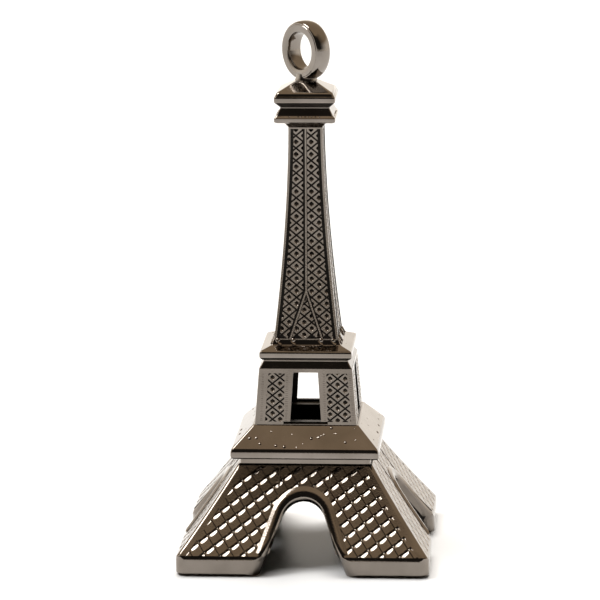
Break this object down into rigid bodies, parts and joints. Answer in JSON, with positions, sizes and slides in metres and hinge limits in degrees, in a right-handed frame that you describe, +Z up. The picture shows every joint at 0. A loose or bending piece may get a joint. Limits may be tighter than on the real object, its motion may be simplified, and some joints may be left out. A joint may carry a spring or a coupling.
{
  "type": "miniature lattice tower charm",
  "caption": "Miniature square lattice tower on four arched feet, with stepped platforms, a tapering spire and a swivel hanging eye on the roof.",
  "frame": {"origin": "on the ground, under the tower's axis", "axes": "+Z up along the tower; -Y is the face towards the viewer, +X to its right"},
  "size_m": [0.022, 0.022, 0.047],
  "materials": {
    "lattice_casting": "gunmetal plated zinc casting, glossy, with a fine cast grain in the lattice",
    "smooth_casting": "gunmetal plated zinc casting, glossy, with a few casting pores",
    "eye_metal": "gunmetal plated, polished by handling",
    "fastener_steel": "plain plated steel"
  },
  "bodies": {
    "tower": {"leg_base": "lattice_casting", "first_platform": "smooth_casting", "arcade_tier": "lattice_casting", "second_platform": "smooth_casting", "spire": "lattice_casting", "gallery_deck": "smooth_casting", "gallery_cornice": "smooth_casting", "roof_cap": "smooth_casting", "eye_washer": "fastener_steel", "base_screw": "fastener_steel", "base_washer": "fastener_steel"},
    "eye": {"hanging_eye": "eye_metal"}
  },
  "joints": [
    {"name": "eye_swivel", "type": "hinge", "parent": "tower", "child": "eye", "pos_m": [0, 0, 0.04175], "axis": [0, 0, 1], "continuous": true}
  ]
}
